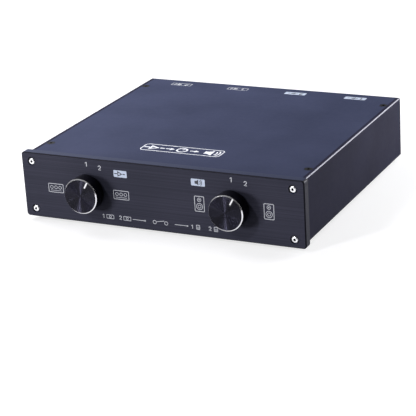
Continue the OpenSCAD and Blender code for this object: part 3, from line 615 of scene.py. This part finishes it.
def stroke(points, line):
    """A line of the given width through some points, as one closed outline."""
    left, right = [], []
    for k, (x, y) in enumerate(points):
        ahead = Vector(points[min(k + 1, len(points) - 1)]) - Vector(points[max(k - 1, 0)])
        side = Vector((-ahead.y, ahead.x)).normalized() * line / 2
        left.append((x + side.x, y + side.y))
        right.append((x - side.x, y - side.y))
    return left + right[::-1]


print("outline helpers ready")

# %% Ink on a face
INK = 0.00003
INK_MOTTLE, INK_ROUGH = 0.0004, 0.000006
FACES = {
    "front": Matrix(((1, 0, 0, 0), (0, 0, -1, FRONT_Y), (0, 1, 0, AXIS_Z), (0, 0, 0, 1))),
    "rear": Matrix(((-1, 0, 0, 0), (0, 0, 1, REAR_Y), (0, 1, 0, AXIS_Z), (0, 0, 0, 1))),
    "top": Matrix(((1, 0, 0, 0), (0, 1, 0, cover_low.y), (0, 0, 1, TOP_Z), (0, 0, 0, 1))),
    "top_from_rear": Matrix(((-1, 0, 0, 0), (0, -1, 0, cover_high.y), (0, 0, 1, TOP_Z), (0, 0, 0, 1))),
}


def ink(name, outlines, face, finish, layer=1):
    """A piece of print on a face, from outlines in millimetres. Each layer lies on the last."""
    curve = bpy.data.curves.new(name, "CURVE")
    curve.dimensions = "2D"
    curve.fill_mode = "BOTH"
    curve.extrude = INK / 2
    for outline in outlines:
        spline = curve.splines.new("POLY")
        spline.points.add(len(outline) - 1)
        for point, (x, y) in zip(spline.points, outline):
            point.co = (x * MM, y * MM, 0, 1)
        spline.use_cyclic_u = True
    holder = bpy.data.objects.new(name + "_curve", curve)
    bpy.context.scene.collection.objects.link(holder)
    bpy.context.view_layer.update()
    mesh = bpy.data.meshes.new_from_object(holder.evaluated_get(bpy.context.evaluated_depsgraph_get()))
    bpy.data.objects.remove(holder)
    mesh.name = name
    mesh.transform(FACES[face] @ Matrix.Translation((0, 0, INK * (layer - 1))))
    add_piece(name, mesh, "chassis", finish)


def ink_finish(name, dark, light):
    finish = Finish(name, Specular_IOR_Level=0.3)
    mottle = finish.grain(INK_MOTTLE)
    return finish.set(Base_Color=finish.blend(spread(mottle, 1.6), linear(dark), linear(light)),
                      Roughness=0.5 + 0.15 * mottle, Normal=finish.bump(mottle, INK_ROUGH))


line_ink = ink_finish("line_ink", "a9abb3", "c0c2ca")
badge_ink = ink_finish("badge_ink", "e0e2ec", "f0f2fa")
label_ink = ink_finish("label_ink", "aab4c8", "bcc6da")
plate_ink = ink_finish("plate_ink", "98a3ba", "aab4ca")
dark_ink = ink_finish("dark_ink", "2b2d36", "383a44")
print("ink ready")

# %% [markdown]
# ### Signs
# Signs say what each knob and post is for without words. An amplifier is a box with three meters,
# a loudspeaker is a tall box with a small and a large cone, and the positions of the selectors
# are numbered 1 and 2. On the small labels an amplifier is the triangle of a circuit diagram, and
# a loudspeaker is its square with a cone.

# %% Draw the signs
def amplifier_sign(x, y):
    width, height, line = 12.8, 7.0, 0.45
    marks = frame_of(x, y, width, height, 0.9, line)
    for k in (-1, 0, 1):
        marks += ring_of(x + k * width * 0.27, y + height * 0.08, height * 0.19, line * 0.8)
    marks.append(bar(x, y - height * 0.27, width * 0.72, line * 0.7))
    return marks


def speaker_sign(x, y):
    width, height, line = 7.8, 11.8, 0.5
    low, high = y - height * 0.17, y + height * 0.26
    return (frame_of(x, y, width, height, 0.8, line) + ring_of(x, low, width * 0.33, line * 0.8)
            + ring_of(x, low, width * 0.17, line * 0.7) + ring_of(x, high, width * 0.2, line * 0.8)
            + [circle(x, high, width * 0.07)])


def triangle_sign(x, y, size, line):
    tip, back = x + size * 0.55, x - size * 0.5
    half, inner = size * 0.55, line * 1.7
    return [[(back, y - half), (tip, y), (back, y + half)],
            [(back + line, y - half + inner), (tip - inner, y), (back + line, y + half - inner)],
            bar(back - size * 0.35, y, size * 0.6, line), bar(tip + size * 0.3, y, size * 0.5, line)]


def cone_sign(x, y, size):
    box, wide = size * 0.28, size * 0.5
    return [[(x - wide, y - box), (x - wide * 0.3, y - box), (x + wide * 0.5, y - size * 0.55),
             (x + wide * 0.5, y + size * 0.55), (x - wide * 0.3, y + box), (x - wide, y + box)],
            stroke(arc(x, y, size * 0.62, -38, 38), size * 0.12),
            stroke(arc(x, y, size * 0.88, -38, 38), size * 0.12)]


def digit(number, x, y, height, line):
    half, top, foot = height * 0.28, y + height * 0.5, y - height * 0.5
    if number == 1:
        right, flag, dip = x + line, x - half * 0.9, top - height * 0.2
        return [[(right, foot), (right, top), (x, top), (flag, dip), (flag, dip - line), (x, top - line),
                 (x, foot)]]
    base = foot + line / 2
    path = arc(x, y + height * 0.22, half, 175, -30) + [(x - half, base), (x + half * 1.15, base)]
    return [stroke(path, line)]


def arrow(x, y, length, line):
    start, head, tip = x - length / 2, x + length / 2 - 3 * line, x + length / 2
    half, wide = line / 2, line * 1.7
    return [[(start, y - half), (head, y - half), (head, y - wide), (tip, y), (head, y + wide),
             (head, y + half), (start, y + half)]]


print("signs drawn")

# %% [markdown]
# ### The front
# Left and right of each knob stands the sign of what it selects, and above it are the numbers of
# its two positions, 30 degrees apart. Beside each knob is also a pale tile with the small sign.

# %% Print the front
amplifiers = amplifier_sign(-85.0, -0.4) + amplifier_sign(-30.5, -0.15)
speakers = speaker_sign(32.2, 0.05) + speaker_sign(85.6, 0.2)
ink("print_front_amplifiers", amplifiers, "front", line_ink)
ink("print_front_speakers", speakers, "front", line_ink)

DIGIT_PLACES = ((1, 90, 20.8), (2, 60, 21.8))
knob_x = KNOB_X["speaker_knob"] / MM
positions = []
for middle in (-knob_x, knob_x):
    for number, angle, away in DIGIT_PLACES:
        turn = math.radians(angle)
        x, y = middle + away * math.cos(turn), away * math.sin(turn)
        positions += digit(number, x, y, 3.4, 0.62)
ink("print_front_positions", positions, "front", line_ink)

TILE_UP, TILE_HIGH, TILE_R = 16.05, 5.2, 0.7
tiles = [rounded(x, TILE_UP, width, TILE_HIGH, TILE_R) for x, width in ((-30.05, 10.7), (32.0, 10.8))]
tile_signs = triangle_sign(-30.3, TILE_UP, 3.9, 0.75) + cone_sign(31.4, TILE_UP, 3.9)
ink("print_front_tiles", tiles, "front", label_ink)
ink("print_front_tile_signs", tile_signs, "front", dark_ink, layer=2)
print("signs, numbers and tiles printed")

# %% [markdown]
# The line of small signs below shows the whole box: two amplifiers come in on the left, the two
# rings with a bar between them are a switch, and two pairs of loudspeakers go out on the right.
# Lines as thin as these leave no room for the large signs' detail, so the forms are simpler.

# %% Print the line of small signs
CHAIN_UP = -17.9
CHAIN_LINE = 0.42


def small_amplifier(x):
    return frame_of(x + 1.0, CHAIN_UP, 6.2, 3.2, 0.4, 0.4) + ring_of(x + 1.0, CHAIN_UP, 1.0, 0.35)


def small_speaker(x):
    return frame_of(x, CHAIN_UP, 3.0, 3.6, 0.4, 0.4) + ring_of(x, CHAIN_UP - 0.4, 0.85, 0.3)


chain = []
for side, middle, sign in ((-1, -35.0, small_amplifier), (1, 37.0, small_speaker)):
    for number, x in ((1, middle - 7.0), (2, middle + 7.0)):
        chain += digit(number, x - 4.6, CHAIN_UP, 3.0, 0.5) + sign(x)
    chain += arrow(side * 17.0, CHAIN_UP, 11.0, CHAIN_LINE)
for side in (-1, 1):
    chain += ring_of(side * 4.6, CHAIN_UP, 1.5, CHAIN_LINE)
chain.append(stroke([(-3.05, CHAIN_UP + 0.45), (3.2, CHAIN_UP + 1.6)], CHAIN_LINE))
ink("print_front_chain", chain, "front", line_ink)
print("front printed")

# %% [markdown]
# ### The rear
# Behind each group of four posts is a printed plate. The amplifier plates are filled with pale
# ink and leave holes for the posts, the loudspeaker plates are only outlined. A number tells the
# groups apart, and triangles point to the left and the right channel.

# %% Print the rear
post_x = sorted(-x / MM for x in POST_X)
post_up = POST_UP / MM
PLATE = (43.8, 40.4, 3.2)
PLATE_LINE = 0.75
BOX = (10.2, 4.8, 0.5)
HOLE_R = 7.3
DIGIT_ASIDE, SIGN_ASIDE, CHANNEL_ASIDE = -3.3, 1.9, 12.2


def channel_triangles(middle):
    """One triangle that points left and one that points right, on either side of a box."""
    return [[(side * 1.2 + x, 0), (side * -1.0 + x, 1.4), (side * -1.0 + x, -1.4)]
            for side, x in ((-1, middle - CHANNEL_ASIDE), (1, middle + CHANNEL_ASIDE))]


plates, outlines_only, boxes, signs, dark_signs = [], [], [], [], []
for group in range(4):
    left, right = post_x[2 * group], post_x[2 * group + 1]
    middle = (left + right) / 2
    number = digit(group % 2 + 1, middle + DIGIT_ASIDE, 0, 3.2, 0.6)
    boxes.append(rounded(middle, 0, *BOX))
    if group < 2:
        plates.append(rounded(middle, 0, *PLATE))
        plates += [circle(x, y, HOLE_R) for x in (left, right) for y in (-post_up, post_up)]
        signs += number + triangle_sign(middle + SIGN_ASIDE, 0, 2.6, 0.5)
        dark_signs += channel_triangles(middle)
    else:
        outlines_only += frame_of(middle, 0, *PLATE, PLATE_LINE)
        dark_signs += number + cone_sign(middle + SIGN_ASIDE, 0, 2.8)
        signs += channel_triangles(middle)
ink("print_rear_plates", plates, "rear", plate_ink)
ink("print_rear_outlines", outlines_only, "rear", line_ink)
ink("print_rear_dark_boxes", boxes[:2], "rear", dark_ink, layer=2)
ink("print_rear_pale_boxes", boxes[2:], "rear", label_ink)
ink("print_rear_signs", signs, "rear", line_ink, layer=3)
ink("print_rear_dark_signs", dark_signs, "rear", dark_ink, layer=2)
print("post rows at", round(post_up, 2), "mm, groups in", [round(x, 1) for x in post_x])

# %% [markdown]
# ### The top
# Four labels stand over the four groups of posts and are read from behind. The frame at the
# front of the cover has a plain row of signs in it.

# %% Print the top
LABEL = (17.8, 6.0, 0.8)
LABEL_IN = 10.3
labels, label_signs, frames, frame_signs = [], [], [], []
for number, x in ((1, -76.5), (2, -25.4), (1, 25.4), (2, 76.5)):
    if x < 0:
        labels.append(rounded(x, LABEL_IN, *LABEL))
        label_signs += digit(number, x - 5.2, LABEL_IN, 4.2, 0.9)
        label_signs += triangle_sign(x + 2.2, LABEL_IN, 3.8, 0.8)
    else:
        frames += frame_of(x, LABEL_IN, *LABEL, 0.5)
        frame_signs += digit(number, x - 4.6, LABEL_IN, 4.0, 0.8) + cone_sign(x + 2.4, LABEL_IN, 4.2)
ink("print_top_labels", labels, "top_from_rear", label_ink)
ink("print_top_label_signs", label_signs, "top_from_rear", dark_ink, layer=2)
ink("print_top_frames", frames + frame_signs, "top_from_rear", line_ink)

BADGE_IN = 34
badge = frame_of(0, BADGE_IN, 64.6, 14, 3.0, 0.8)
badge += triangle_sign(-22.5, BADGE_IN, 7.5, 1.5) + arrow(-9.6, BADGE_IN, 7.4, 1.2)
badge += ring_of(0, BADGE_IN, 4.5, 1.3) + [stroke([(0.2, BADGE_IN + 0.4), (1.35, BADGE_IN + 2.75)], 1.1)]
badge += arrow(10.2, BADGE_IN, 7.4, 1.2) + cone_sign(22.5, BADGE_IN, 8.6)
ink("print_top_badge", badge, "top", badge_ink)
print("top printed,", len(labels), "labels and a badge of", len(badge), "outlines")

# %% [markdown]
# ## Light, floor and camera
# A plain studio with a white floor. To the lamps the floor is grey, so that it throws little light
# back at the case. To the camera, to polished metal and through clear plastic it also glows: full
# white far away, and less close by, where the lamps add the rest and the shadow stays. The
# surround is brightest above, behind and to the left, as in a room with one wall of diffusers.

# %% Floor
FLOOR_HALF = 6
NEAR, FAR = 0.35, 1.2
GLOW = 0.72
BLACK, WHITE = (0, 0, 0, 1), (1, 1, 1, 1)


def studio_floor():
    mesh = bpy.data.meshes.new("studio_floor")
    corners = [(x * FLOOR_HALF, y * FLOOR_HALF, 0) for x, y in ((-1, -1), (1, -1), (1, 1), (-1, 1))]
    mesh.from_pydata(corners, [], [(0, 1, 2, 3)])
    floor = bpy.data.objects.new("studio_floor", mesh)
    bpy.context.scene.collection.objects.link(floor)
    finish = Finish("floor_finish", Base_Color=linear("a8a8ac"), Roughness=0.9, Specular_IOR_Level=0.1)
    camera, polished, clear = [finish.node("ShaderNodeLightPath", out="Is %s Ray" % kind)
                               for kind in ("Camera", "Glossy", "Transmission")]
    x, y, z = finish.place
    far = (((x * x + y * y).root() - NEAR) * (1 / (FAR - NEAR))).clamp()
    seen = finish.blend(far, (GLOW, GLOW, GLOW, 1), WHITE)
    glow = finish.blend((camera + polished + clear).clamp(), BLACK, seen)
    finish.set(Emission_Color=glow, Emission_Strength=1.0)
    mesh.materials.append(finish.material)


studio_floor()
print("floor laid")

# %% Surround
DARK_SIDE, BRIGHT_SIDE = 0.05, 0.34
BRIGHT_WAY = (-0.5, 0.6, 0.45)


def surround():
    world = bpy.data.worlds.new("surround")
    bpy.context.scene.world = world
    world.use_nodes = True
    tree = Tree(world.node_tree, "Background")
    x, y, z = tree.parts("Generated")
    facing = x * BRIGHT_WAY[0] + y * BRIGHT_WAY[1] + z * BRIGHT_WAY[2]
    side = (0.4 + 0.9 * facing).clamp()
    room = DARK_SIDE + (BRIGHT_SIDE - DARK_SIDE) * side
    camera, clear = [tree.node("ShaderNodeLightPath", out="Is %s Ray" % kind)
                     for kind in ("Camera", "Transmission")]
    seen = (camera + clear).clamp()
    tree.set(Strength=seen + (1 - seen) * room, Color=WHITE)


surround()
print("surround made")

# %% [markdown]
# Seven soft lamps, each for one thing. The key stands low and far off in front on the left, and
# throws each knob's shadow to the right. The strip is narrow and stands higher, at the one height
# where the knobs' grooves catch it, so their fans come out upright and slim. The top lamp hangs
# beyond the left edge and makes the cover brighter there. The sheen lamp lights the cover's rear,
# the side lamp the rear of the right wall, the rear lamp the posts, and the glint lamp the edges.

# %% Lamps
AIM = Vector((0, 0, 0.03))


def soft_lamp(name, place, size, power):
    light = bpy.data.lights.new(name, "AREA")
    light.shape = "RECTANGLE"
    light.size, light.size_y = size
    light.energy = power
    lamp = bpy.data.objects.new(name, light)
    bpy.context.scene.collection.objects.link(lamp)
    lamp.location = place
    lamp.rotation_euler = (AIM - Vector(place)).to_track_quat("-Z", "Y").to_euler()


soft_lamp("key_lamp", place=(-1.85, -2.3, 0.2), size=(0.9, 0.4), power=60)
soft_lamp("strip_lamp", place=(-0.69, -1.45, 1.1), size=(0.12, 0.3), power=14)
soft_lamp("top_lamp", place=(-0.3, 0.04, 0.38), size=(0.3, 0.3), power=2.4)
soft_lamp("sheen_lamp", place=(-0.75, 0.9, 0.45), size=(0.5, 0.4), power=0.3)
soft_lamp("side_lamp", place=(0.36, 0.3, 0.12), size=(0.2, 0.12), power=1.4)
soft_lamp("rear_lamp", place=(0.6, 1.6, 0.42), size=(1.3, 0.75), power=9.5)
soft_lamp("glint_lamp", place=(0.5, 0.5, 1.1), size=(0.5, 0.1), power=1.2)
print("lamps placed")

# %% [markdown]
# The camera stands where the photographer stood: a little above, to the right of the front, with
# a long lens. Two angles and a small roll are in degrees. The distance and two shifts are in
# widths of the case, from the middle of the case's front lower edge.

# %% Camera
SENSOR = 36


def look(turn, rise, roll, away, right_by, up_by, lens):
    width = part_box("right_side")[1].x - wall_low.x
    turn, rise, roll = (math.radians(a) for a in (turn, rise, roll))
    back = Vector((math.sin(turn) * math.cos(rise), -math.cos(turn) * math.cos(rise), math.sin(rise)))
    right = Vector((math.cos(turn), math.sin(turn), 0))
    up = back.cross(right)
    cosine, sine = math.cos(roll), math.sin(roll)
    right, up = cosine * right + sine * up, cosine * up - sine * right
    corner = Vector((0, panel_high.y, CASE_Z))
    place = corner + width * (away * back + right_by * right + up_by * up)
    camera = bpy.data.cameras.new("camera")
    camera.sensor_fit = "HORIZONTAL"
    camera.sensor_width = SENSOR
    camera.lens = lens
    viewer = bpy.data.objects.new("camera", camera)
    bpy.context.scene.collection.objects.link(viewer)
    viewer.matrix_world = Matrix(((right.x, up.x, back.x, place.x), (right.y, up.y, back.y, place.y),
                                  (right.z, up.z, back.z, place.z), (0, 0, 0, 1)))
    bpy.context.scene.camera = viewer


look(turn=26.77, rise=20.63, roll=-3.46, away=5.2137, right_by=0.1399, up_by=0.0614, lens=137.73)
bpy.context.scene.view_settings.view_transform = "Standard"
print("camera placed")
